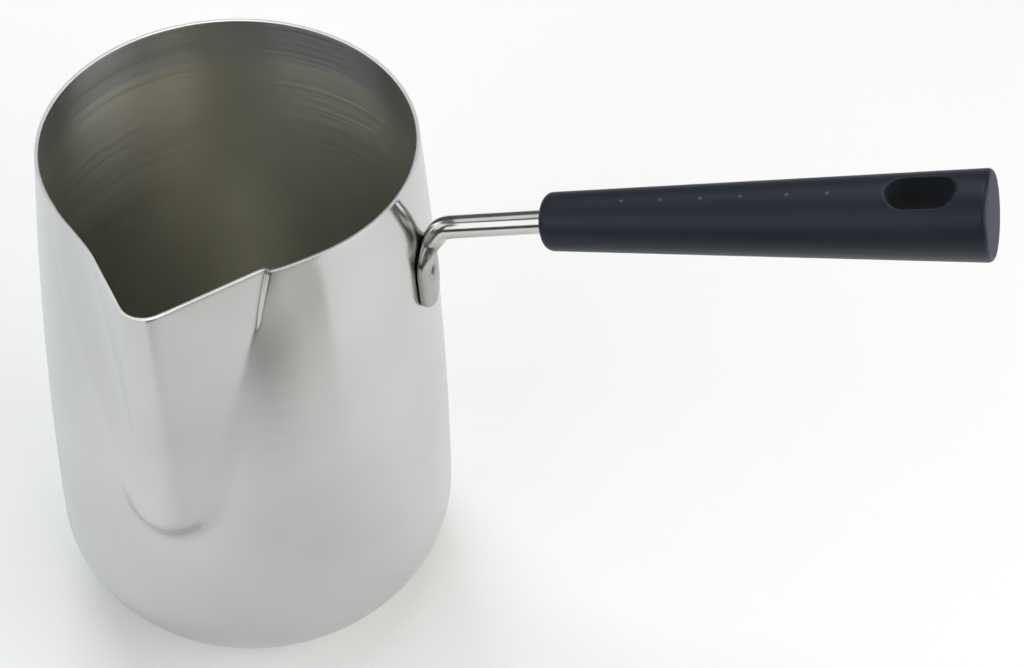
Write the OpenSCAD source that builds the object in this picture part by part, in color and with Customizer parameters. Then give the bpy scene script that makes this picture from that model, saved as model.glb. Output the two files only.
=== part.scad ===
// Melting pot with a pressed pouring spout, a bent rod handle and a tapered grip.
// Origin at the centre of the base, +Z up, handle towards +X, spout towards -Y. Millimetres.

/* [Pot] */
// Outside diameter at the rim
rim_d = 88; // [70:1:110]
// Height from base to rim
pot_h = 144; // [110:1:180]
// Largest outside diameter that the curve of the wall would reach
belly_d = 103.2; // [98:0.2:108]
// Radius of the long curve of the wall
wall_bow_r = 1300; // [1000:10:1800]
// Outside radius between wall and base
corner_r = 25; // [15:0.5:32]
// Thickness of the steel sheet
sheet_t = 0.8; // [0.5:0.1:1.5]

/* [Spout] */
// Width of the mouth between the two creases at the rim
mouth_w = 43.5; // [34:0.5:52]
// Distance from the pot's axis to the tip of the lip
lip_reach = 60; // [54:0.5:66]
// Outside radius of the lip's nose
nose_r = 6.2; // [4:0.1:9]
// Outside radius of the rounded toe at the foot of the spout
toe_r = 8.5; // [6:0.1:10]
// Height of the toe's centre above the base
toe_z = 70.5; // [50:0.5:100]
// How far the ridge stands out from the wall at the toe
toe_proud = 6.8; // [4:0.1:8]
// How far the toe sits to the side away from the handle
toe_lean = 1.7; // [0:0.1:4]

/* [Handle rod] */
// Diameter of the rod
rod_d = 5.5; // [4:0.1:7]
// Slope of the rod above level, in degrees
rod_tilt = 18.4; // [8:0.1:30]
// Radius of the bend, on the rod's centre line
bend_r = 6; // [4:0.5:9]
// Height of the bend's corner above the top of the pad
bend_rise = 4.6; // [4:0.1:9]
// Distance from the wall out to the bend's corner
bend_out = 4.8; // [4:0.1:8]
// Free length of rod from the bend's corner to the grip
rod_free = 25.8; // [15:0.1:50]
// Length of rod held inside the grip
rod_hold = 56; // [40:1:66]
// Width of the flattened tail that keeps the grip from turning
tail_w = 8; // [7.2:0.1:9]
// Thickness of the flattened tail
tail_t = 3; // [2:0.1:3.8]
// Length of the flattened tail
tail_l = 10; // [6:0.5:20]

/* [Weld pad] */
// Width of the flattened end that lies on the wall
pad_w = 12; // [9:0.5:16]
// Height of the flattened end
pad_h = 20; // [15:0.5:28]
// Thickness of the flattened end
pad_t = 2; // [1.2:0.1:3]
// Height of the pad's centre above the base
pad_z = 114.5; // [95:0.5:118]
// Diameter of the spot weld
weld_d = 5; // [3:0.1:6]
// Depth of the mark that the electrode leaves
dimple = 0.4; // [0.2:0.1:0.8]

/* [Grip] */
// Length of the grip
grip_l = 100.5; // [90:0.5:130]
// Diameter at the front end
grip_front_d = 13.3; // [12.5:0.1:16]
// Diameter at the rear end
grip_rear_d = 20.2; // [16:0.1:24]
// Radius of the front edge
front_round = 2.3; // [0.5:0.1:4]
// Radius of the rear edge
rear_round = 1.2; // [0.5:0.1:3]
// How much flatter than the rod the grip lies, in degrees
grip_dip = 2.9; // [0:0.1:5]
// Turn of the grip on the rod towards the spout, in degrees
grip_turn = 13; // [0:1:45]
// Length of the hanging slot
slot_l = 14.5; // [10:0.5:20]
// Width of the hanging slot
slot_w = 8; // [6:0.1:9]
// Distance from the rear end to the middle of the slot
slot_inset = 14.3; // [13:0.1:24]
// Gap between the rod and the grip's bore
bore_fit = 0.05; // [0.02:0.01:0.2]

/* [Hidden] */
$fn = 96;
wall_fn = 720;
hull_fn = 32;
cut = 1;

rim_r = rim_d / 2;
belly_r = belly_d / 2;

// Centres of the wall's long curve and of the corner
swell = belly_r - rim_r;
bow_x = belly_r - wall_bow_r;
bow_z = pot_h - sqrt(2 * wall_bow_r * swell - swell * swell);
corner_x = bow_x + sqrt(pow(wall_bow_r - corner_r, 2) - pow(corner_r - bow_z, 2));

// Height where the two curves meet, on a body grown by a thickness
function blend_z(grow) = bow_z + (wall_bow_r + grow) * (corner_r - bow_z) / (wall_bow_r - corner_r);

// Outside radius of the wall at a height above the corner
function wall_r(z) = bow_x + sqrt(wall_bow_r * wall_bow_r - pow(z - bow_z, 2));

// Spout seen from above: crease on the rim, nose, and the straight flank that joins them
crease = [mouth_w / 2, -sqrt(rim_r * rim_r - mouth_w * mouth_w / 4)];
nose = [0, nose_r - lip_reach];
to_nose = nose - crease;
flank_a = atan2(to_nose.y, to_nose.x) + asin(nose_r / norm(to_nose));
flank = [cos(flank_a), sin(flank_a)];
flank_out = [-flank.y, flank.x];
heel_r = 2;
heel_back = 8;
heel = crease - heel_back * flank - heel_r * flank_out;
toe_y = toe_r - toe_proud - wall_r(toe_z);

// Rod in the plane y = 0: top of the pad, corner of the bend, and the bend's arc
pad_top = pad_z + pad_h / 2;
shoulder_z = pad_top - pad_w / 4;
shoulder_w = 3 / 4 * pad_w;
shoulder = [wall_r(shoulder_z) + pad_t / 2, shoulder_z];
corner = [wall_r(pad_top) + bend_out, pad_top + bend_rise];
neck_a = atan2(shoulder.y - corner.y, shoulder.x - corner.x);
half_a = (rod_tilt - neck_a) / 2;
tangent = bend_r / tan(half_a);
bisect_a = (rod_tilt + neck_a) / 2;
bend_c = corner + bend_r / sin(half_a) * [cos(bisect_a), sin(bisect_a)];
neck_start = corner + tangent * [cos(neck_a), sin(neck_a)];
neck_slice = 1;
lap = 0.5;
bend_slim = 0.05;
round_hold = rod_hold - tail_l + lap;
wall_lean = asin((pad_z - bow_z) / wall_bow_r);
dimple_r = weld_d;

// Tapered side of the grip and the centres of its edge roundings
taper_a = atan2((grip_rear_d - grip_front_d) / 2, grip_l);
function side_r(s) = grip_front_d / 2 + s * tan(taper_a);
front_y = side_r(front_round) - front_round / cos(taper_a);
rear_y = side_r(grip_l - rear_round) - rear_round / cos(taper_a);
slot_s = grip_l - slot_inset;

// Round body of the pot, filled, grown by a thickness and cut off at a height
module body(grow, top) {
    rotate_extrude() {
        intersection() {
            translate([bow_x, bow_z])
                circle(wall_bow_r + grow, $fn = wall_fn);
            translate([0, blend_z(grow)])
                square([belly_d, top - blend_z(grow)]);
        }
        intersection() {
            translate([corner_x, corner_r])
                circle(corner_r + grow);
            translate([corner_x, -grow])
                square([belly_d, blend_z(grow) + grow]);
        }
        translate([0, -grow])
            square([corner_x, blend_z(grow) + grow]);
    }
}

// Wedge of the spout, filled, with its surface moved in by a thickness
module wedge(inset) {
    hull() {
        translate([nose.x, nose.y, pot_h])
            cylinder(r = nose_r - inset, h = cut, $fn = hull_fn);
        for (side = [-1, 1])
            translate([side * heel.x, heel.y, pot_h])
                cylinder(r = heel_r - inset, h = cut, $fn = hull_fn);
        translate([-toe_lean, toe_y, toe_z])
            sphere(toe_r - inset, $fn = hull_fn);
    }
}

// Point on the wall behind the pad, with the Z axis turned square to the wall
module on_wall(lift) {
    translate([wall_r(pad_z), 0, pad_z])
        rotate([0, 90 - wall_lean, 0])
            translate([0, 0, lift])
                children();
}

// Slug of the weld, from half way into the sheet out to a height above the wall
module weld_core(height) {
    on_wall(-sheet_t / 2)
        cylinder(d = weld_d, h = sheet_t / 2 + height);
}

// Point on the rod's centre line, with the Z axis turned along the rod
module along_rod(distance) {
    translate([corner.x, 0, corner.y])
        rotate([0, 90 - rod_tilt, 0])
            translate([0, 0, distance])
                children();
}

// Flattened tail of the rod, measured from the grip's front end, with a gap around it
module tail(gap) {
    translate([-tail_t / 2 - gap, -tail_w / 2 - gap, round_hold - lap - gap])
        cube([tail_t + 2 * gap, tail_w + 2 * gap, tail_l + 2 * gap]);
}

module pad() {
    intersection() {
        translate([0, 0, pad_z])
            rotate([90, 0, 90])
                linear_extrude(belly_d) {
                    for (end = [-1, 1])
                        translate([0, end * (pad_h - pad_w) / 2])
                            circle(d = pad_w);
                    square([pad_w, pad_h - pad_w], center = true);
                }
        body(pad_t, pot_h);
    }
}

// Rod pressed from round to flat between the bend and the pad
module neck() {
    hull() {
        translate([neck_start.x, 0, neck_start.y])
            rotate([0, 90 - neck_a, 0])
                cylinder(r = rod_d / 2 - 2 * bend_slim, h = neck_slice, center = true, $fn = hull_fn);
        translate([shoulder.x, 0, shoulder.y])
            cube([pad_t, shoulder_w, neck_slice], center = true);
    }
}

module pot_shell() {
    color("gainsboro")
        difference() {
            union() {
                body(0, pot_h);
                wedge(0);
            }
            body(-sheet_t, pot_h + 2 * cut);
            wedge(sheet_t);
            translate([0, 0, pot_h])
                cylinder(r = belly_d, h = 2 * cut);
            weld_core(pad_t);
        }
}

module handle_rod() {
    color("silver")
        difference() {
            union() {
                along_rod(tangent - lap)
                    cylinder(d = rod_d, h = rod_free + round_hold - tangent + lap);
                along_rod(rod_free)
                    tail(0);
                translate([bend_c.x, 0, bend_c.y])
                    rotate([90, -90 - rod_tilt, 0])
                        rotate_extrude(angle = 180 - 2 * half_a)
                            translate([bend_r, 0])
                                circle(rod_d / 2 - bend_slim);
                neck();
                pad();
            }
            body(0, pot_h);
            weld_core(pad_t + cut);
        }
}

module spot_weld() {
    color("darkgray")
        difference() {
            weld_core(pad_t);
            on_wall(pad_t + dimple_r - dimple)
                sphere(dimple_r);
        }
}

// Tapered body of the grip along Z, with rounded edges
module taper() {
    rotate_extrude() {
        polygon([
            [0, 0],
            [front_y, 0],
            [front_y + front_round * cos(taper_a), front_round * (1 - sin(taper_a))],
            [rear_y + rear_round * cos(taper_a), grip_l - rear_round * (1 + sin(taper_a))],
            [rear_y, grip_l],
            [0, grip_l]
        ]);
        translate([front_y, front_round])
            circle(front_round);
        translate([rear_y, grip_l - rear_round])
            circle(rear_round);
    }
}

// Hanging slot right through the grip, with round ends
module slot() {
    translate([0, 0, slot_s])
        rotate([0, 90, grip_turn])
            linear_extrude(2 * grip_rear_d, center = true) {
                for (end = [-1, 1])
                    translate([end * (slot_l - slot_w) / 2, 0])
                        circle(d = slot_w);
                square([slot_l - slot_w, slot_w], center = true);
            }
}

module grip() {
    color([0.16, 0.17, 0.2])
        along_rod(rod_free)
            difference() {
                rotate([0, grip_dip, 0])
                    difference() {
                        taper();
                        slot();
                    }
                translate([0, 0, -cut])
                    cylinder(d = rod_d + 2 * bore_fit, h = round_hold + bore_fit + cut);
                tail(bore_fit);
            }
}

pot_shell();
handle_rod();
spot_weld();
grip();
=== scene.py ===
import math

import bmesh
import bpy
import numpy as np
from mathutils import Matrix, Vector
from mathutils.bvhtree import BVHTree


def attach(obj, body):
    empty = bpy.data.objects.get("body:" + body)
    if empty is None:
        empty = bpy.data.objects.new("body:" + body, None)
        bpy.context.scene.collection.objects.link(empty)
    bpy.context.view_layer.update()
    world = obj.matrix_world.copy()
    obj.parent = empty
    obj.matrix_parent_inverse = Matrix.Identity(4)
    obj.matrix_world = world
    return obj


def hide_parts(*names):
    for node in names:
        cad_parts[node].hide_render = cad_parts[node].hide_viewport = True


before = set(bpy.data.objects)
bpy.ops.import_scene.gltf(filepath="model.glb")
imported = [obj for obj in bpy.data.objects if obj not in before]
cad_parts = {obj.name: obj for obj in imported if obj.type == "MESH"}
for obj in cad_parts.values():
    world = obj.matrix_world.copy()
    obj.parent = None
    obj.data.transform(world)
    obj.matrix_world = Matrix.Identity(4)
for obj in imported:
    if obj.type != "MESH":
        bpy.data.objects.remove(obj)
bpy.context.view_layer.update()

# Sizes of the pot in millimetres, with the toe of the spout drawn up for its fillet
RIM_R = 44.0
POT_H = 144.0
BELLY_R = 51.577
WALL_BOW_R = 1300.0
CORNER_R = 25.0
SHEET_T = 0.8
RIM_EDGE = 0.3
BAND_H = 13.0
MOUTH_W = 43.5
LIP_REACH = 60.0
NOSE_R = 6.2
TOE_R = 8.5
TOE_Z = 72.0
TOE_PROUD = 6.8
TOE_LEAN = 1.7
HEEL_R = 2.0
HEEL_BACK = 8.0
MOUTH = ((POT_H + 1, MOUTH_W / 2), (POT_H, MOUTH_W / 2), (124.5, 18.5), (109.5, 15.4))

# How the columns of the sheet crowd towards the spout, and how far round they are pressed
SPOUT_COLUMNS = math.radians(48)
CROWD_NEAR = 1.25
CROWD_FAR = 1.4
PRESSED_TURN = 1.1
PRESSED_FROM = TOE_Z - 3 * TOE_R
SEARCH_PAST = 2

# The small roll of sheet beside the right crease: its height, start, width and depth below the rim
FOLD = 1.0
FOLD_START = 1.0
FOLD_WIDTH = 8
FOLD_DEPTH = 13

# Fillets between spout and wall, softer at the toe than at the rim, and softer on the left
LEFT_FILLET_TOE = 11
LEFT_FILLET_RIM = 4
RIGHT_FILLET_RIM = 0.3
RIGHT_FILLET_ADDED = 5
RIGHT_FILLET_FALL = 2.5
NOSE_TURN = 0.1

# Counts of points on the pot and the die, of halvings in a search, and what counts as an edge
BASE_STEPS = 4
CORNER_STEPS = 18
LOW_WALL_STEPS = 10
SPOUT_STEPS = 76
POT_COLUMNS = 300
DIE_RING = 180
TOE_RING, TOE_ROWS = 120, 80
CREASE_HALVINGS = 20
PRESS_HALVINGS = 22
RIM_EDGE_STEPS = 3
SHARP = math.radians(60)

# Sizes of the rod, its pad and the weld
ROD_R = 2.75
ROD_TILT = math.radians(18.4)
BEND_R = 6.0
BEND_RISE = 4.6
BEND_OUT = 4.8
ROD_FREE = 25.8
ROD_HOLD = 56.0
TAIL_L = 10.0
TAIL_W = 8.0
TAIL_T = 3.0
PAD_W = 12.0
PAD_H = 20.0
PAD_T = 2.0
PAD_Z = 114.5
WELD_R = 2.5
WELD_PIT = 1.1
DIMPLE = 0.4
PAD_DISH = 1.6
PIT_DEPTH = 1.25 * DIMPLE
FACE_SHARE = 0.96
FACE_SINK = 0.02
SLUG_TAPER = 0.1
SLUG_EDGE = 0.3
TAIL_EASE = 2
SHOULDER_EASE = 2.0
FOOT_END = 0.2

# Counts of sections along the rod and points round it, and how square the sections are
FACE_RINGS = 20
WELD_RING = 64
NECK_EASE = 14
ROD_STEPS = 12
BEND_STEPS = 16
NECK_STEPS = 24
PAD_STEPS = 20
FOOT_STEPS = 14
ROUND, SQUARE = 2, 8
PAD_SQUARE = 3
RING = 96
NECK_SOFTNESS = 0.5
ALL_AXES = {"use_axis_x": True, "use_axis_y": True, "use_axis_z": True}

# Sizes of the grip
GRIP_L = 100.49
GRIP_FRONT_R = 6.65
GRIP_REAR_R = 10.07
FRONT_ROUND = 2.3
REAR_ROUND = 1.2
GRIP_DIP = math.radians(2.9)
GRIP_TURN = math.radians(13)
SLOT_L = 14.5
SLOT_W = 8.0
SLOT_INSET = 14.3
SLOT_LIP = 0.7
BORE_FIT = 0.05
VOXEL = 0.5
PIPS = (19.9, 28.9, 38.0, 47.1, 57.4, 66.3)
PIP_SIZE = (0.5, 0.5, 0.4, 1)
PIP_SINK = 0.1
FINISH_EDGE = 0.15
END_DEPTH = 0.1
FLAT_ENOUGH = 0.98

# Counts of points round the slot and the pips, and the steps that carry points to a surface
SLOT_RING = 48
PIP_RING, PIP_ROWS = 16, 8
EASE_ROUNDS = 6
EASE_STEP = 0.001
LEAST_SLOPE = 0.2

# Units, a full turn and the gap that counts as none
MM = 0.001
METRES = Matrix.Scale(MM, 4)
ROUND_TURN = 2 * math.pi
MERGE = 0.0001

# Curves of the wall and the corner
BOW_X = BELLY_R - WALL_BOW_R
SWELL = BELLY_R - RIM_R
BOW_Z = POT_H - math.sqrt(2 * WALL_BOW_R * SWELL - SWELL * SWELL)
CORNER_X = BOW_X + math.sqrt((WALL_BOW_R - CORNER_R) ** 2 - (CORNER_R - BOW_Z) ** 2)
BLEND_A = math.asin((CORNER_R - BOW_Z) / (WALL_BOW_R - CORNER_R))
PLAIN_TOP = TOE_Z - 2 * TOE_R


def wall_r(z):
    """Outside radius of the wall at a height above the corner."""
    return BOW_X + math.sqrt(WALL_BOW_R**2 - (z - BOW_Z) ** 2)


def soft_max(a, b, reach):
    """The larger of two distances, with a fillet where they differ by less than reach."""
    near = np.maximum(reach - np.abs(a - b), 0) / reach
    return np.maximum(a, b) + near * near * reach / 4


def spin_round(bm, geom, axis, steps):
    """Spins a line of points into a closed round shape."""
    bmesh.ops.spin(
        bm, geom=geom, cent=(0, 0, 0), axis=axis, angle=ROUND_TURN, steps=steps, use_merge=True
    )
    bmesh.ops.remove_doubles(bm, verts=bm.verts, dist=MERGE)


def add_piece(name, bm, materials, replaced):
    """Turns a mesh in millimetres into a smooth piece that stands for a solid of the pot."""
    bmesh.ops.transform(bm, matrix=METRES, verts=bm.verts)
    mesh = bpy.data.meshes.new(name)
    bm.to_mesh(mesh)
    bm.free()
    mesh.shade_smooth()
    for material in materials:
        mesh.materials.append(material)
    piece = bpy.data.objects.new(name, mesh)
    bpy.context.scene.collection.objects.link(piece)
    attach(piece, "root")
    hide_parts(replaced)
    return piece


# Materials: two tones of each colour, the range of each roughness, and the stretch of each grain

POLISHED = (0.555, 0.567, 0.56), (0.605, 0.617, 0.61)
# A lighter steel on the rim edge: a painted highlight along the rim, on a rougher finish.
RIM_HIGHLIGHT = (0.76, 0.76, 0.74), (0.88, 0.88, 0.86)
WARM_INSIDE = (0.57, 0.56, 0.485), (0.67, 0.66, 0.58)
GREY_BAND = (0.56, 0.57, 0.57), (0.63, 0.64, 0.64)
BRIGHT_ROD = (0.58, 0.58, 0.555), (0.66, 0.66, 0.63)
DULL_PAD = (0.31, 0.31, 0.295), (0.38, 0.38, 0.36)
# A near-black in the middle of the weld mark: painted shade in the electrode's pit.
WELD_PIT_SHADE = (0.05, 0.045, 0.04), (0.09, 0.085, 0.075)
BLUE_BLACK = (0.009, 0.012, 0.021), (0.013, 0.018, 0.028)
# A lighter grey on the pips: a painted highlight where the raised pips catch the light.
PIP_HIGHLIGHT_GREY = (0.06, 0.062, 0.066), (0.1, 0.103, 0.108)
# A lighter blue-grey on the flat end of the grip: painted light for the lit end, on a matte
# finish.
END_PAINTED_LIGHT_GREY = (0.052, 0.057, 0.081), (0.069, 0.075, 0.102)
SLOT_BLACK = (0.012, 0.014, 0.02), (0.016, 0.018, 0.026)
POLISH_ROUGHNESS = 0.17, 0.2
RIM_ROUGHNESS = 0.3, 0.42
INSIDE_ROUGHNESS = 0.38, 0.47
BAND_ROUGHNESS = 0.33, 0.41
ROD_ROUGHNESS = 0.1, 0.17
PAD_ROUGHNESS = 0.2, 0.28
WELD_ROUGHNESS = 0.2, 0.3
SATIN_ROUGHNESS = 0.4, 0.47
END_ROUGHNESS = 0.7, 0.8
SLOT_ROUGHNESS = 0.65, 0.75
POLISH_LINES = 9, 9, 2400
RIM_GRAIN = 260, 260, 260
BRUSH_LINES = 14, 14, 1600
ROD_LINES = 160, 500, 500
EVEN = 1, 1, 1
LONG = 0.4, 1, 1
NOISE_LOW, NOISE_HIGH = 0.3, 0.7
UPRIGHT = 0.25
POLISH_DRAW = 0.85
BRUSH_DRAW = 0.9
SATIN_SHINE = 0.36
MATTE_SHINE = 0.16
SHINE_TONE = (0.86, 0.94, 1.0, 1)

# Scale of each noise, and strength and depth of each bump in millimetres
STEEL_CLOUDS = 26.0
ROD_CLOUDS = 60.0
WELD_CLOUDS = 900.0
PLASTIC_CLOUDS = 45.0
PLASTIC_GRAIN = 2600.0
STEEL_BUMP = 0.2
PLASTIC_BUMP = 0.25
POLISH_DEPTH = 0.002
RIM_DEPTH = 0.02
BRUSH_DEPTH = 0.03
ROD_DEPTH = 0.02
PLASTIC_DEPTH = 0.04

# Heights in millimetres over which one finish changes to another, and the share of the weld
# painted dark as shade in its pit
BAND_BLUR = 2
PAD_BLUR_BELOW, PAD_BLUR_ABOVE = 1, 3
PIT_SHADE_FROM, PIT_SHADE_TO = 0.5, 1.8

# Places of the two inputs and the output that a mix of each kind uses
MIX_SOCKETS = {"RGBA": (6, 7, 2), "FLOAT": (2, 3, 0)}


def start_material(name):
    """A material with its main shader, its node maker and its link maker."""
    material = bpy.data.materials.new(name)
    material.use_nodes = True
    tree = material.node_tree
    return material, tree.nodes["Principled BSDF"], tree.nodes.new, tree.links.new


def grain(new, link, scale, stretch, detail):
    """Noise on the object's own place, stretched along each axis."""
    place = new("ShaderNodeTexCoord")
    mapping = new("ShaderNodeMapping")
    mapping.inputs["Scale"].default_value = stretch
    noise = new("ShaderNodeTexNoise")
    noise.inputs["Scale"].default_value = scale
    noise.inputs["Detail"].default_value = detail
    link(place.outputs["Object"], mapping.inputs["Vector"])
    link(mapping.outputs["Vector"], noise.inputs["Vector"])
    return noise.outputs["Fac"]


def spread(new, link, fac, low, high):
    """Carries a noise value to a range."""
    ramp = new("ShaderNodeMapRange")
    ramp.inputs["From Min"].default_value = NOISE_LOW
    ramp.inputs["From Max"].default_value = NOISE_HIGH
    ramp.inputs["To Min"].default_value = low
    ramp.inputs["To Max"].default_value = high
    link(fac, ramp.inputs["Value"])
    return ramp.outputs["Result"]


def tint(new, link, fac, dark, light):
    """Two tones of one colour, mixed by a noise value."""
    ramp = new("ShaderNodeValToRGB")
    ramp.color_ramp.elements[0].position = NOISE_LOW
    ramp.color_ramp.elements[0].color = (*dark, 1)
    ramp.color_ramp.elements[1].position = NOISE_HIGH
    ramp.color_ramp.elements[1].color = (*light, 1)
    link(fac, ramp.inputs["Fac"])
    return ramp.outputs["Color"]


def by_height(new, link, low, high):
    """Nothing below one height and one above another, with a soft change between."""
    place = new("ShaderNodeTexCoord")
    split = new("ShaderNodeSeparateXYZ")
    step = new("ShaderNodeMapRange")
    step.interpolation_type = "SMOOTHSTEP"
    step.inputs["From Min"].default_value = low
    step.inputs["From Max"].default_value = high
    link(place.outputs["Object"], split.inputs["Vector"])
    link(split.outputs["Z"], step.inputs["Value"])
    return step.outputs["Result"]


def mixed(new, link, share, first, second, kind):
    """The first colour or number where the share is nothing, and the second where it is one."""
    a, b, out = MIX_SOCKETS[kind]
    mix = new("ShaderNodeMix")
    mix.data_type = kind
    link(share, mix.inputs["Factor"])
    link(first, mix.inputs[a])
    link(second, mix.inputs[b])
    return mix.outputs[out]


def raise_bump(new, link, shader, fac, strength, depth):
    """Raises the grain from the surface a little, with its depth in millimetres."""
    bump = new("ShaderNodeBump")
    bump.inputs["Strength"].default_value = strength
    bump.inputs["Distance"].default_value = depth * MM
    link(fac, bump.inputs["Height"])
    link(bump.outputs["Normal"], shader.inputs["Normal"])


def start_steel(name, drawn=0):
    """A metal whose polishing lines run round the pot and draw its reflections out upwards."""
    material, shader, new, link = start_material(name)
    shader.inputs["Metallic"].default_value = 1
    shader.inputs["Anisotropic"].default_value = drawn
    shader.inputs["Anisotropic Rotation"].default_value = UPRIGHT if drawn else 0
    return material, shader, new, link


def steel(name, tones, roughness, stretch, depth, drawn=0):
    """Steel of one finish all over."""
    material, shader, new, link = start_steel(name, drawn)
    lines = grain(new, link, 1.0, stretch, 3)
    clouds = grain(new, link, STEEL_CLOUDS, EVEN, 2)
    link(tint(new, link, clouds, *tones), shader.inputs["Base Color"])
    link(spread(new, link, lines, *roughness), shader.inputs["Roughness"])
    raise_bump(new, link, shader, lines, STEEL_BUMP, depth)
    return material


def brushed_inside():
    """The brushed inside of the pot, greyer and smoother in a band under the rim."""
    material, shader, new, link = start_steel("brushed_inside_steel", BRUSH_DRAW)
    middle = POT_H - BAND_H
    band = by_height(new, link, MM * (middle - BAND_BLUR), MM * (middle + BAND_BLUR))
    lines = grain(new, link, 1.0, BRUSH_LINES, 3)
    clouds = grain(new, link, STEEL_CLOUDS, EVEN, 2)
    tones = [tint(new, link, clouds, *pair) for pair in (WARM_INSIDE, GREY_BAND)]
    rough = [spread(new, link, lines, *pair) for pair in (INSIDE_ROUGHNESS, BAND_ROUGHNESS)]
    link(mixed(new, link, band, *tones, "RGBA"), shader.inputs["Base Color"])
    link(mixed(new, link, band, *rough, "FLOAT"), shader.inputs["Roughness"])
    raise_bump(new, link, shader, lines, STEEL_BUMP, BRUSH_DEPTH)
    return material


def drawn_rod():
    """Bright drawn steel, duller where the end is pressed flat and welded."""
    material, shader, new, link = start_steel("bright_rod_steel")
    low, high = PAD_TOP - PAD_BLUR_BELOW, PAD_TOP + PAD_BLUR_ABOVE
    above = by_height(new, link, MM * low, MM * high)
    lines = grain(new, link, 1.0, ROD_LINES, 3)
    clouds = grain(new, link, ROD_CLOUDS, EVEN, 2)
    tones = [tint(new, link, clouds, *pair) for pair in (DULL_PAD, BRIGHT_ROD)]
    rough = [spread(new, link, lines, *pair) for pair in (PAD_ROUGHNESS, ROD_ROUGHNESS)]
    link(mixed(new, link, above, *tones, "RGBA"), shader.inputs["Base Color"])
    link(mixed(new, link, above, *rough, "FLOAT"), shader.inputs["Roughness"])
    raise_bump(new, link, shader, lines, STEEL_BUMP, ROD_DEPTH)
    return material


def weld_with_pit_shade():
    """Dull weld steel, painted dark in the middle of the mark as painted shade in the electrode's
    pit.
    """
    material, shader, new, link = start_steel("weld_mark_steel")
    place = new("ShaderNodeTexCoord")
    reach = new("ShaderNodeVectorMath")
    reach.operation = "DISTANCE"
    reach.inputs[1].default_value = MM * weld_face()
    link(place.outputs["Object"], reach.inputs[0])
    around = new("ShaderNodeMapRange")
    around.interpolation_type = "SMOOTHSTEP"
    around.inputs["From Min"].default_value = MM * PIT_SHADE_FROM * WELD_PIT
    around.inputs["From Max"].default_value = MM * PIT_SHADE_TO * WELD_PIT
    link(reach.outputs["Value"], around.inputs["Value"])
    clouds = grain(new, link, WELD_CLOUDS, EVEN, 2)
    tones = [tint(new, link, clouds, *pair) for pair in (WELD_PIT_SHADE, DULL_PAD)]
    link(mixed(new, link, around.outputs["Result"], *tones, "RGBA"), shader.inputs["Base Color"])
    link(spread(new, link, clouds, *WELD_ROUGHNESS), shader.inputs["Roughness"])
    raise_bump(new, link, shader, clouds, STEEL_BUMP, ROD_DEPTH)
    return material


def grip_plastic(name, tones, roughness, shine):
    """Moulded plastic with a fine satin texture."""
    material, shader, new, link = start_material(name)
    fine = grain(new, link, PLASTIC_GRAIN, EVEN, 2)
    clouds = grain(new, link, PLASTIC_CLOUDS, LONG, 3)
    link(tint(new, link, clouds, *tones), shader.inputs["Base Color"])
    link(spread(new, link, clouds, *roughness), shader.inputs["Roughness"])
    shader.inputs["Specular IOR Level"].default_value = shine
    shader.inputs["Specular Tint"].default_value = SHINE_TONE
    raise_bump(new, link, shader, fine, PLASTIC_BUMP, PLASTIC_DEPTH)
    return material


# The pot


def wall_profile():
    """Points of the pot's side from the middle of the base to the rim, as radius and height."""
    points = [(CORNER_X * i / BASE_STEPS, 0.0) for i in range(BASE_STEPS)]
    for i in range(CORNER_STEPS + 1):
        a = -math.pi / 2 + (math.pi / 2 + BLEND_A) * i / CORNER_STEPS
        points.append((CORNER_X + CORNER_R * math.cos(a), CORNER_R + CORNER_R * math.sin(a)))
    low = points[-1][1]
    span, rise = PLAIN_TOP - low, POT_H - PLAIN_TOP
    heights = [low + span * i / LOW_WALL_STEPS for i in range(1, LOW_WALL_STEPS)]
    heights += [PLAIN_TOP + rise * i / SPOUT_STEPS for i in range(SPOUT_STEPS + 1)]
    return points + [(wall_r(z), z) for z in heights]


def spout_die():
    """The wedge that presses the spout, with its nose, heels, full cheeks and round toe."""
    bm = bmesh.new()
    nose = Vector((0, NOSE_R - LIP_REACH))
    toe = Vector((-TOE_LEAN, TOE_R - TOE_PROUD - wall_r(TOE_Z)))
    for z, half in MOUTH:
        up = min((z - TOE_Z) / (POT_H - TOE_Z), 1)
        ridge = toe.lerp(nose, up)
        ridge_r = TOE_R + (NOSE_R - TOE_R) * up
        crease = Vector((half, -math.sqrt(wall_r(z) ** 2 - half**2)))
        rounds = [(*ridge, ridge_r)]
        for side in (-1, 1):
            to_ridge = Vector((side * ridge.x, ridge.y)) - crease
            flank_a = math.atan2(to_ridge.y, to_ridge.x) + math.asin(ridge_r / to_ridge.length)
            flank = Vector((math.cos(flank_a), math.sin(flank_a)))
            heel = crease - HEEL_BACK * flank - HEEL_R * Vector((-flank.y, flank.x))
            rounds.append((side * heel.x, heel.y, HEEL_R))
        for x, y, r in rounds:
            place = Matrix.Translation((x, y, z))
            bmesh.ops.create_circle(bm, radius=r, segments=DIE_RING, matrix=place)
    toe_place = Matrix.Translation((*toe, TOE_Z))
    bmesh.ops.create_uvsphere(
        bm, u_segments=TOE_RING, v_segments=TOE_ROWS, radius=TOE_R, matrix=toe_place
    )
    bmesh.ops.delete(bm, geom=bm.faces[:] + bm.edges[:], context="EDGES_FACES")
    bmesh.ops.convex_hull(bm, input=bm.verts)
    bmesh.ops.delete(bm, geom=[v for v in bm.verts if not v.link_faces], context="VERTS")
    bmesh.ops.recalc_face_normals(bm, faces=bm.faces)
    tree = BVHTree.FromBMesh(bm)
    bm.free()
    return tree


def die_reach(die, turn, z):
    """How far the die stands out from the pot's axis in a direction, or nothing beside it."""
    way = Vector((math.sin(turn), -math.cos(turn), 0))
    hit = die.ray_cast(2 * LIP_REACH * way + Vector((0, 0, z)), -way, 2 * LIP_REACH)[0]
    return hit.xy.length if hit else 0.0


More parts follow.
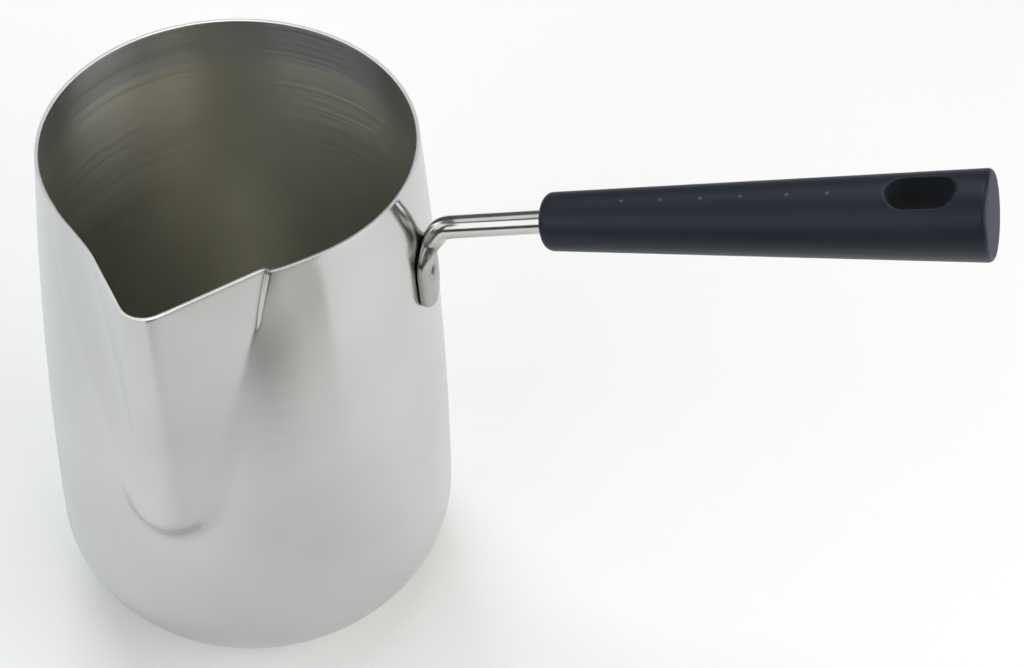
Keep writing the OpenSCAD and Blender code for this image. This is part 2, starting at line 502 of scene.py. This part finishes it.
def crease_turn(die, z, side):
    """Angle from the front of the pot to the crease between spout and wall, on one side."""
    inside, beside = 0.0, 1.0
    for _ in range(CREASE_HALVINGS):
        middle = (inside + beside) / 2
        if die_reach(die, side * middle, z) > wall_r(z):
            inside = middle
        else:
            beside = middle
    return inside


def die_gap(die, point):
    """Distance of a point from the die, below nothing inside it."""
    spot, normal, _, gap = die.find_nearest(point)
    return math.copysign(gap, (point - spot).dot(normal))


def pressed_r(die, turn, z, r, fillet):
    """Radius of the sheet in a direction, where it runs from the wall over the die in a fillet."""
    way = Vector((math.sin(turn), -math.cos(turn), 0))
    up = Vector((0, 0, z))
    if die_gap(die, r * way + up) > fillet:
        return r
    low, high = r, LIP_REACH + SEARCH_PAST
    for _ in range(PRESS_HALVINGS):
        middle = (low + high) / 2
        if -soft_max(r - middle, -die_gap(die, middle * way + up), fillet) < 0:
            low = middle
        else:
            high = middle
    return low


def gathered(turn, crease, z):
    """Moves a column of the sheet so that the columns of the spout end at its creases."""
    far = max(turn - SPOUT_COLUMNS, 0) / (math.pi - SPOUT_COLUMNS)
    near = min(turn / SPOUT_COLUMNS, 1)
    pulled = crease * (1 - (1 - near) ** CROWD_NEAR) + (math.pi - crease) * far**CROWD_FAR
    share = min(max((z - CORNER_R) / (PLAIN_TOP - CORNER_R), 0), 1)
    return turn + (pulled - turn) * share


def fold_swell(beside, z):
    """The small roll of sheet that stands up beside the crease next to the rim."""
    start = min(max(beside, 0) / FOLD_START, 1)
    fade = math.exp(-((beside / FOLD_WIDTH) ** 2) - ((POT_H - z) / FOLD_DEPTH) ** 2)
    return FOLD * start * start * (3 - 2 * start) * fade


def press_spout(bm):
    """Gathers the columns towards the spout and pushes the sheet out over the die."""
    die = spout_die()
    creases = {}
    for v in bm.verts:
        r, z = v.co.xy.length, v.co.z
        if r < CORNER_X:
            continue
        turn = math.atan2(v.co.x, -v.co.y)
        side = math.copysign(1, turn)
        row = side, round(max(z, TOE_Z), 3)
        if row not in creases:
            creases[row] = crease_turn(die, row[1], side)
        turn = gathered(abs(turn), creases[row], z)
        up = max((z - TOE_Z) / (POT_H - TOE_Z), 0)
        if side > 0:
            r += fold_swell(r * (turn - creases[row]), z)
        if turn < PRESSED_TURN and z > PRESSED_FROM:
            to_right = 0.5 + 0.5 * math.tanh(turn * side / NOSE_TURN)
            left = LEFT_FILLET_TOE + (LEFT_FILLET_RIM - LEFT_FILLET_TOE) * up
            right = RIGHT_FILLET_RIM + RIGHT_FILLET_ADDED * (1 - up) ** RIGHT_FILLET_FALL
            r = pressed_r(die, side * turn, z, r, left + (right - left) * to_right)
        v.co.xy = r * math.sin(side * turn), -r * math.cos(turn)


def steel_pot(outside, inside, rim_highlight):
    """The pot as one sheet, spun, pressed and given its thickness, with an eased rim in lighter
    steel that is a painted highlight.
    """
    bm = bmesh.new()
    line = [bm.verts.new((0, r, z)) for r, z in wall_profile()]
    edges = [bm.edges.new(pair) for pair in zip(line, line[1:])]
    spin_round(bm, line + edges, (0, 0, 1), POT_COLUMNS)
    press_spout(bm)
    bmesh.ops.recalc_face_normals(bm, faces=bm.faces)
    pot = add_piece("steel_pot", bm, (outside, inside, rim_highlight), "pot_shell")
    sheet = pot.modifiers.new("sheet thickness", "SOLIDIFY")
    sheet.thickness = SHEET_T * MM
    sheet.offset = -1
    sheet.use_even_offset = True
    sheet.material_offset = 1
    sheet.material_offset_rim = 2
    edge = pot.modifiers.new("rim edge", "BEVEL")
    edge.limit_method = "ANGLE"
    edge.angle_limit = SHARP
    edge.width = RIM_EDGE * MM
    edge.segments = RIM_EDGE_STEPS


# The rod

PAD_TOP = PAD_Z + PAD_H / 2
PAD_ROUND = PAD_W / 2
COIN_Z = PAD_TOP - PAD_ROUND
FOOT_Z = PAD_Z - PAD_H / 2 + PAD_ROUND
SHOULDER_Z = PAD_TOP - PAD_W / 4
CORNER = Vector((wall_r(PAD_TOP) + BEND_OUT, PAD_TOP + BEND_RISE))
SHOULDER = Vector((wall_r(SHOULDER_Z) + PAD_T / 2, SHOULDER_Z))
NECK_A = math.atan2(SHOULDER.y - CORNER.y, SHOULDER.x - CORNER.x)
HALF_A = (ROD_TILT - NECK_A) / 2
TANGENT = BEND_R / math.tan(HALF_A)
BISECT_A = (ROD_TILT + NECK_A) / 2
BEND_C = CORNER + BEND_R / math.sin(HALF_A) * Vector((math.cos(BISECT_A), math.sin(BISECT_A)))
ALONG = Vector((math.cos(ROD_TILT), math.sin(ROD_TILT)))
DOWN = Vector((math.cos(NECK_A), math.sin(NECK_A)))
FRONT = CORNER + ROD_FREE * ALONG
NECK_START = CORNER + TANGENT * DOWN
WELD_LEAN = math.asin((PAD_Z - BOW_Z) / WALL_BOW_R)


def straight_stations():
    """Sections from the flat tail in the grip to the bend.

    Each has its middle, the way on, half its width, half its thickness and how square it is.
    """
    tail = ROD_FREE + ROD_HOLD
    plain = tail - TAIL_L - TAIL_EASE
    bars = [(d, TAIL_W / 2, TAIL_T / 2, SQUARE) for d in (tail, tail - TAIL_L)]
    steps = [plain + (TANGENT - plain) * i / ROD_STEPS for i in range(ROD_STEPS)]
    bars += [(d, ROD_R, ROD_R, ROUND) for d in steps]
    return [(CORNER + d * ALONG, -ALONG, wide, thick, e) for d, wide, thick, e in bars]


def bend_stations():
    """Sections round the bend, from the handle down to the neck."""
    out = []
    for i in range(BEND_STEPS + 1):
        a = ROD_TILT + math.pi / 2 + (math.pi - 2 * HALF_A) * i / BEND_STEPS
        ray = Vector((math.cos(a), math.sin(a)))
        out.append((BEND_C + BEND_R * ray, Vector((-ray.y, ray.x)), ROD_R, ROD_R, ROUND))
    return out


def pad_stations():
    """Sections from the neck to the foot of the pad, pressed flat as they meet the wall."""
    drop = NECK_START.y - COIN_Z
    lift = NECK_START.x - wall_r(NECK_START.y)
    slope = drop * (DOWN.x / DOWN.y + (NECK_START.y - BOW_Z) / WALL_BOW_R)
    heights = [NECK_START.y - drop * i / NECK_STEPS for i in range(1, NECK_STEPS + 1)]
    heights += [COIN_Z + (FOOT_Z - COIN_Z) * i / PAD_STEPS for i in range(1, PAD_STEPS + 1)]
    quarters = [math.pi / 2 * i / FOOT_STEPS for i in range(1, FOOT_STEPS + 1)]
    heights += [FOOT_Z - PAD_ROUND * math.sin(a) for a in quarters]
    out = []
    for z in heights:
        t = min((NECK_START.y - z) / drop, 1)
        press = t * t * (3 - 2 * t)
        thick = ROD_R + (PAD_T / 2 - ROD_R) * press
        off = lift * (1 - press) - slope * t * (1 - t) ** 2 + PAD_T / 2 * press
        end = max(z - COIN_Z, FOOT_Z - z, 0)
        coin = math.sqrt(max(PAD_ROUND**2 - end * end, 0))
        wide = coin if z < COIN_Z else float(soft_max(ROD_R, coin, SHOULDER_EASE))
        middle = Vector((wall_r(z) + max(off, thick), z))
        out.append((middle, wide, thick, ROUND + PAD_SQUARE * press))
    ways = [(b[0] - a[0]).normalized() for a, b in zip(out, out[1:])]
    ways.append(ways[-1])
    return [
        (middle, way, max(wide, FOOT_END), thick, e)
        for (middle, wide, thick, e), way in zip(out, ways)
    ]


def weld_dish(y, z):
    """Depth of the mark that the weld leaves in the pad's face."""
    off = math.hypot(y, z - PAD_Z) / WELD_R
    return DIMPLE * (1 - off * off) if off < 1 else 0


def only_verts(geom):
    """The points among some points, edges and faces."""
    return [g for g in geom if isinstance(g, bmesh.types.BMVert)]


def drawn_bar(count):
    """A straight round bar of unit radius along X, with a section at each whole number."""
    bm = bmesh.new()
    across = Matrix.Rotation(math.pi / 2, 4, "Y")
    bmesh.ops.create_circle(bm, cap_ends=True, radius=1, segments=RING, matrix=across)
    bm.faces.ensure_lookup_table()
    cap = bm.faces[0]
    for _ in range(count - 1):
        grown = bmesh.ops.extrude_face_region(bm, geom=[cap, *cap.edges])["geom"]
        cap = next(g for g in grown if isinstance(g, bmesh.types.BMFace))
        bmesh.ops.translate(bm, vec=(1, 0, 0), verts=only_verts(grown))
    return bm


def bent_rod():
    """The bar bent to the handle's line, with its end pressed flat on the wall."""
    stations = straight_stations() + bend_stations() + pad_stations()
    bm = drawn_bar(len(stations))
    first_pad = len(stations) - len(pad_stations())
    for v in bm.verts:
        i = round(v.co.x)
        middle, way, wide, thick, e = stations[i]
        c, s = v.co.y, v.co.z
        reach = (abs(c) ** e + abs(s) ** e) ** (-1 / e)
        y = wide * c * reach
        out = Vector((-way.y, way.x)) * thick * s * reach
        place = middle + out
        x, z = place
        if i >= first_pad:
            press = min((i - first_pad) / NECK_STEPS, 1)
            x -= press * y * y / (2 * wall_r(z))
            if out.x > 0:
                x -= PAD_DISH * press * weld_dish(y, z)
        v.co = (x, y, z)
    low, high = COIN_Z - 1, NECK_START.y + 2
    neck = [v for v in bm.verts if low < v.co.z < high and v.co.x < FRONT.x]
    for _ in range(NECK_EASE):
        bmesh.ops.smooth_vert(bm, verts=neck, factor=NECK_SOFTNESS, **ALL_AXES)
    bmesh.ops.recalc_face_normals(bm, faces=bm.faces)
    return bm


def weld_face():
    """Middle of the weld on the face of the pad."""
    outwards = Vector((math.cos(WELD_LEAN), 0, math.sin(WELD_LEAN)))
    return Vector((wall_r(PAD_Z), 0, PAD_Z)) + PAD_T * outwards


def weld_slug():
    """The round slug of the spot weld, with the dish that the electrode leaves."""
    bm = bmesh.new()
    depth = PAD_T + SHEET_T / 2
    line = [(0, -depth), (WELD_R - 2 * SLUG_TAPER, -depth), (WELD_R - SLUG_TAPER, -SLUG_EDGE)]
    rings = [WELD_R * FACE_SHARE * (1 - i / FACE_RINGS) for i in range(FACE_RINGS + 1)]
    line += [(r, -FACE_SINK - PIT_DEPTH * math.exp(-((r / WELD_PIT) ** 2))) for r in rings]
    verts = [bm.verts.new((r, 0, h)) for r, h in line]
    edges = [bm.edges.new(pair) for pair in zip(verts, verts[1:])]
    spin_round(bm, verts + edges, (0, 0, 1), WELD_RING)
    turn = Matrix.Translation(weld_face()) @ Matrix.Rotation(math.pi / 2 - WELD_LEAN, 4, "Y")
    bmesh.ops.transform(bm, matrix=turn, verts=bm.verts)
    bmesh.ops.recalc_face_normals(bm, faces=bm.faces)
    return bm


# The grip

TAPER = (GRIP_REAR_R - GRIP_FRONT_R) / GRIP_L
SLOT_S = GRIP_L - SLOT_INSET
SLOT_STRAIGHT = (SLOT_L - SLOT_W) / 2
PIP_HIGHLIGHT_FINISH, END_PAINTED_LIGHT_FINISH, SLOT_FINISH = 1, 2, 3

# Place of the grip, from its own axes with X along it and Z along its slot
LIE = Matrix.Rotation(GRIP_DIP - ROD_TILT, 4, "Y") @ Matrix.Rotation(GRIP_TURN, 4, "X")
PLACE = Matrix.Translation((FRONT.x, 0, FRONT.y)) @ LIE
BORE_TURN = np.array(LIE.to_3x3().inverted() @ Matrix.Rotation(-ROD_TILT, 3, "Y"))


def grip_distance(p):
    """Distance of points to the grip's finished surface, lying along X with its slot along Z."""
    s, y, z = p.T
    edge = np.where(s < GRIP_L / 2, FRONT_ROUND, REAR_ROUND)
    side = (np.hypot(y, z) - GRIP_FRONT_R - TAPER * s) / math.hypot(1, TAPER) + edge
    end = np.abs(s - GRIP_L / 2) - GRIP_L / 2 + edge
    outer = np.hypot(np.maximum(side, 0), np.maximum(end, 0))
    body = outer + np.minimum(np.maximum(side, end), 0) - edge
    slot = np.hypot(np.maximum(np.abs(s - SLOT_S) - SLOT_STRAIGHT, 0), y) - SLOT_W / 2
    ahead, wide, thick = (p @ BORE_TURN).T
    bore = np.maximum(np.hypot(wide, thick) - ROD_R - BORE_FIT, ahead - ROD_HOLD + TAIL_L)
    flat = np.maximum(np.abs(wide) - TAIL_W / 2, np.abs(thick) - TAIL_T / 2)
    tail = np.maximum(flat, np.abs(ahead - ROD_HOLD + TAIL_L / 2) - TAIL_L / 2) - BORE_FIT
    return np.maximum(soft_max(body, -slot, SLOT_LIP), -np.minimum(bore, tail))


def finished(bm, *steps):
    """The mesh after the given modifiers, each one a type and its settings."""
    mesh = bpy.data.meshes.new("blank")
    bm.to_mesh(mesh)
    blank = bpy.data.objects.new("blank", mesh)
    bpy.context.scene.collection.objects.link(blank)
    for kind, settings in steps:
        step = blank.modifiers.new(kind, kind)
        for key, value in settings.items():
            setattr(step, key, value)
    shaped = blank.evaluated_get(bpy.context.evaluated_depsgraph_get()).to_mesh()
    bm.clear()
    bm.from_mesh(shaped)
    bpy.data.objects.remove(blank)
    bpy.data.meshes.remove(mesh)
    return bm


def cutter(bm):
    """An object that cuts its shape out of another."""
    mesh = bpy.data.meshes.new("cutter")
    bm.to_mesh(mesh)
    bm.free()
    tool = bpy.data.objects.new("cutter", mesh)
    bpy.context.scene.collection.objects.link(tool)
    return tool


def slot_cutter():
    """The straight-sided slot with round ends, right through the grip."""
    bm = bmesh.new()
    below = Matrix.Translation((0, 0, -2 * GRIP_REAR_R))
    bmesh.ops.create_circle(
        bm, cap_ends=True, radius=SLOT_W / 2, segments=SLOT_RING, matrix=below
    )
    for v in bm.verts:
        v.co.x += SLOT_S + math.copysign(SLOT_STRAIGHT, v.co.x - EASE_STEP)
    grown = bmesh.ops.extrude_face_region(bm, geom=bm.faces[:])["geom"]
    bmesh.ops.translate(bm, vec=(0, 0, 4 * GRIP_REAR_R), verts=only_verts(grown))
    bmesh.ops.recalc_face_normals(bm, faces=bm.faces)
    return cutter(bm)


def grip_blank():
    """The tapered grip before its edges are eased."""
    bm = bmesh.new()
    outline = (0, 0), (0, GRIP_FRONT_R), (GRIP_L, GRIP_REAR_R), (GRIP_L, 0)
    line = [bm.verts.new((s, 0, r)) for s, r in outline]
    edges = [bm.edges.new(pair) for pair in zip(line, line[1:])]
    spin_round(bm, line + edges, (1, 0, 0), RING)
    bmesh.ops.recalc_face_normals(bm, faces=bm.faces)
    return bm


def ease_edges(bm):
    """Moves every point of the rough mesh on to the finished surface."""
    points = np.array([v.co for v in bm.verts])
    for _ in range(EASE_ROUNDS):
        d = grip_distance(points)
        slopes = []
        for axis in EASE_STEP * np.eye(3):
            change = grip_distance(points + axis) - grip_distance(points - axis)
            slopes.append(change / (2 * EASE_STEP))
        slope = np.stack(slopes, axis=1)
        points -= (d / np.maximum((slope**2).sum(1), LEAST_SLOPE))[:, None] * slope
    for v, p in zip(bm.verts, points):
        v.co = p


def add_pips(bm):
    """The row of small raised pips along the top, in a lighter plastic whose grey is a painted
    highlight.
    """
    for s in PIPS:
        up = GRIP_FRONT_R + TAPER * s - PIP_SINK
        place = Matrix.Translation((s, 0, up)) @ Matrix.Diagonal(PIP_SIZE)
        pip = bmesh.ops.create_uvsphere(
            bm, u_segments=PIP_RING, v_segments=PIP_ROWS, radius=1, matrix=place
        )
        for face in {f for v in pip["verts"] for f in v.link_faces}:
            face.material_index = PIP_HIGHLIGHT_FINISH


def dull_faces(bm):
    """Gives the flat end of the grip its matte finish, painted a lighter blue-grey as painted
    light on the lit end, and the walls of its slot their own finish.
    """
    bm.normal_update()
    for face in bm.faces:
        s, y, _ = face.calc_center_median()
        along = max(abs(s - SLOT_S) - SLOT_STRAIGHT, 0)
        if face.normal.x > FLAT_ENOUGH and s > GRIP_L - END_DEPTH:
            face.material_index = END_PAINTED_LIGHT_FINISH
        elif math.hypot(along, y) < SLOT_W / 2 + FINISH_EDGE:
            face.material_index = SLOT_FINISH


def moulded_grip(rod):
    """The grip moulded round the rod, with its slot and its pips."""
    core = rod.copy()
    bmesh.ops.transform(core, matrix=PLACE.inverted(), verts=core.verts)
    tools = slot_cutter(), cutter(core)
    cut = {"operation": "DIFFERENCE", "solver": "EXACT"}
    cuts = [("BOOLEAN", {"object": tool, **cut}) for tool in tools]
    bm = finished(grip_blank(), *cuts, ("REMESH", {"mode": "VOXEL", "voxel_size": VOXEL}))
    for tool in tools:
        bpy.data.objects.remove(tool)
    ease_edges(bm)
    dull_faces(bm)
    add_pips(bm)
    bmesh.ops.transform(bm, matrix=PLACE, verts=bm.verts)
    return bm


# Set up of the object

polished = steel(
    "polished_outside_steel", POLISHED, POLISH_ROUGHNESS, POLISH_LINES, POLISH_DEPTH, POLISH_DRAW
)
rim_steel = steel("rim_highlight_steel", RIM_HIGHLIGHT, RIM_ROUGHNESS, RIM_GRAIN, RIM_DEPTH)
steel_pot(polished, brushed_inside(), rim_steel)

rod = bent_rod()
grip = moulded_grip(rod)
add_piece("bent_rod", rod, (drawn_rod(),), "handle_rod")
add_piece("weld_mark", weld_slug(), (weld_with_pit_shade(),), "spot_weld")

grip_finishes = (
    grip_plastic("satin_blue_black_plastic", BLUE_BLACK, SATIN_ROUGHNESS, SATIN_SHINE),
    grip_plastic("pip_painted_highlight_plastic", PIP_HIGHLIGHT_GREY, SATIN_ROUGHNESS, SATIN_SHINE),
    grip_plastic("matte_end_painted_light_plastic", END_PAINTED_LIGHT_GREY, END_ROUGHNESS, MATTE_SHINE),
    grip_plastic("matte_slot_plastic", SLOT_BLACK, SLOT_ROUGHNESS, MATTE_SHINE),
)
add_piece("moulded_grip", grip, grip_finishes, "grip")


# Floor, light and camera, in metres

FLOOR_TONE = (0.86, 0.86, 0.86, 1)
FLOOR_ROUGHNESS = 0.9
FLOOR_SHINE = 0.1
FLOOR_GLOW = 0.16
FLOOR_SIZE = 4
FLOOR_DROP = 0.0001
ROOM_TONE = (0.94, 0.97, 1.0, 1)
ROOM_LIGHT = 0.13
AIM = Vector((0.04, 0, 0.08))

CAMERA_PLACE = (0.15394, -0.36483, 0.49147)
CAMERA_TURN = math.radians(13.211)
CAMERA_DIP = math.radians(46.368)
CAMERA_ROLL = math.radians(1.750)
LENS = 79.734
SENSOR = 36

# Boards of painted shade, seen only in the steel: name, near tone, far tone, reach from the pot's
# axis, turn in degrees, width and height
SHADE_BOARDS = (
    ("grey_painted_shade_board", (0.13, 0.13, 0.1), (0.8, 0.8, 0.73), 0.195, 40, 0.178, 0.12),
    ("dark_painted_shade_board", (0.05, 0.05, 0.04), (0.05, 0.05, 0.04), 0.42, 5, 1.4, 0.12),
)

# Softboxes: name, place, size, watts, tone, and whether the steel mirrors them
SOFTBOXES = (
    ("key_softbox", (-0.4, 0.53, 0.72), (0.45, 0.45), 2.7, (0.96, 0.98, 1.0), False),
    ("window_softbox", (-0.5, 0.38, 0.95), (1.1, 0.35), 1.0, (0.98, 0.99, 1.0), True),
    ("top_softbox", (0.05, 0.28, 1.0), (0.5, 0.5), 2.2, (1.0, 1.0, 1.0), True),
    ("left_softbox", (-0.5, -0.65, 0.58), (1.25, 0.65), 3.6, (0.93, 0.97, 1.0), True),
    ("right_softbox", (0.8, 0.05, 0.38), (0.6, 0.6), 3.2, (1.0, 0.99, 0.96), True),
    ("front_right_softbox", (0.65, -0.5, 0.62), (0.44, 0.6), 1.9, (1.0, 0.96, 0.84), True),
)


def larger(new, link, first, second):
    """The larger of two values."""
    result = new("ShaderNodeMath")
    result.operation = "MAXIMUM"
    link(first, result.inputs[0])
    link(second, result.inputs[1])
    return result.outputs["Value"]


def pale_floor():
    """White paper that looks a little lighter than its light makes it, also in the steel."""
    bm = bmesh.new()
    bmesh.ops.create_grid(bm, x_segments=1, y_segments=1, size=FLOOR_SIZE)
    mesh = bpy.data.meshes.new("floor")
    bm.to_mesh(mesh)
    bm.free()
    floor = bpy.data.objects.new("floor", mesh)
    floor.location.z = -FLOOR_DROP
    bpy.context.scene.collection.objects.link(floor)
    material, shader, new, link = start_material("white_paper")
    shader.inputs["Base Color"].default_value = FLOOR_TONE
    shader.inputs["Roughness"].default_value = FLOOR_ROUGHNESS
    shader.inputs["Specular IOR Level"].default_value = FLOOR_SHINE
    path = new("ShaderNodeLightPath").outputs
    seen = larger(new, link, path["Is Camera Ray"], path["Is Glossy Ray"])
    seen = larger(new, link, seen, path["Is Transmission Ray"])
    glow = new("ShaderNodeMath")
    glow.operation = "MULTIPLY"
    glow.inputs[1].default_value = FLOOR_GLOW
    link(seen, glow.inputs[0])
    shader.inputs["Emission Color"].default_value = (1, 1, 1, 1)
    link(glow.outputs["Value"], shader.inputs["Emission Strength"])
    mesh.materials.append(material)


def softbox(name, place, size, watts, tone, mirrored):
    """A lamp with a flat bright face that looks at the pot."""
    lamp = bpy.data.lights.new(name, "AREA")
    lamp.shape = "RECTANGLE"
    lamp.size, lamp.size_y = size
    lamp.energy = watts
    lamp.color = tone
    box = bpy.data.objects.new(name, lamp)
    box.location = place
    box.visible_glossy = mirrored
    box.rotation_euler = (AIM - Vector(place)).to_track_quat("-Z", "Y").to_euler()
    bpy.context.scene.collection.objects.link(box)


def board(name, near_tone, far_tone, reach, turn, width, height):
    """A board on the floor before the pot, outside the picture, that shows only in the steel:
    painted shade in the steel's reflection of the floor before the pot.
    """
    bm = bmesh.new()
    upright = Matrix.Rotation(math.pi / 2, 4, "X") @ Matrix.Diagonal((width, height, 1, 1))
    ahead = Matrix.Translation((0, -reach, height / 2))
    stand = Matrix.Rotation(math.radians(turn), 4, "Z") @ ahead @ upright
    bm.loops.layers.uv.new("board")
    bmesh.ops.create_grid(bm, x_segments=1, y_segments=1, size=0.5, matrix=stand, calc_uvs=True)
    mesh = bpy.data.meshes.new(name)
    bm.to_mesh(mesh)
    bm.free()
    piece = bpy.data.objects.new(name, mesh)
    piece.visible_camera = False
    piece.visible_diffuse = False
    piece.visible_shadow = False
    bpy.context.scene.collection.objects.link(piece)
    material, shader, new, link = start_material(name)
    across = new("ShaderNodeSeparateXYZ")
    link(new("ShaderNodeTexCoord").outputs["UV"], across.inputs["Vector"])
    link(tint(new, link, across.outputs["X"], near_tone, far_tone), shader.inputs["Base Color"])
    shader.inputs["Roughness"].default_value = 1
    mesh.materials.append(material)


def studio_world():
    """The dim room round the softboxes."""
    world = bpy.data.worlds.new("studio")
    world.use_nodes = True
    room = world.node_tree.nodes["Background"]
    room.inputs["Color"].default_value = ROOM_TONE
    room.inputs["Strength"].default_value = ROOM_LIGHT
    bpy.context.scene.world = world


def photo_camera():
    """The camera fitted to the photo."""
    data = bpy.data.cameras.new("camera")
    data.lens = LENS
    data.sensor_width = SENSOR
    data.sensor_fit = "HORIZONTAL"
    camera = bpy.data.objects.new("camera", data)
    turn = Matrix.Rotation(CAMERA_TURN, 4, "Z")
    tip = Matrix.Rotation(math.pi / 2 - CAMERA_DIP, 4, "X")
    roll = Matrix.Rotation(CAMERA_ROLL, 4, "Z")
    camera.matrix_world = Matrix.Translation(CAMERA_PLACE) @ turn @ tip @ roll
    bpy.context.scene.collection.objects.link(camera)
    bpy.context.scene.camera = camera


pale_floor()
for row in SHADE_BOARDS:
    board(*row)
studio_world()
for row in SOFTBOXES:
    softbox(*row)
photo_camera()
bpy.context.scene.view_settings.view_transform = "Standard"
